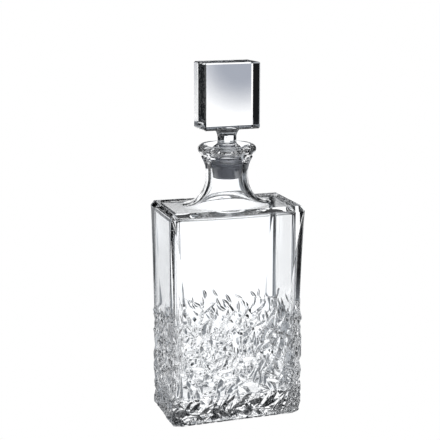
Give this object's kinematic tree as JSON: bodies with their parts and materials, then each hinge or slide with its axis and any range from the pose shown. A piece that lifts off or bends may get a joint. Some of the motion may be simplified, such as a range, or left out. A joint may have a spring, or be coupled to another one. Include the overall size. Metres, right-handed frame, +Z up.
{
  "type": "decanter with stopper",
  "caption": "Rectangular cut crystal decanter with scooped corners, textured lower walls, round neck and a solid glass block stopper.",
  "frame": {"origin": "centre of the base, on the surface it stands on", "axes": "+Z up along the neck's axis, +X along the wide front towards the viewer's right, -Y out of the front"},
  "size_m": [0.1076, 0.06, 0.2802],
  "materials": {
    "crystal": "polished, cut on the lower walls",
    "stopper_crystal": "polished",
    "seal_plastic": "translucent, satin"
  },
  "bodies": {
    "bottle_body": {"bottle": "crystal"},
    "seal_body": {"stopper_seal": "seal_plastic"},
    "stopper_body": {"stopper": "stopper_crystal"}
  },
  "joints": [
    {"name": "stopper_lift", "type": "slide", "parent": "bottle_body", "child": "seal_body", "axis": [0, 0, 1], "range_m": [0, 0.045]},
    {"name": "stopper_twist", "type": "hinge", "parent": "seal_body", "child": "stopper_body", "pos_m": [0, 0, 0.2], "axis": [0, 0, 1], "continuous": true}
  ]
}
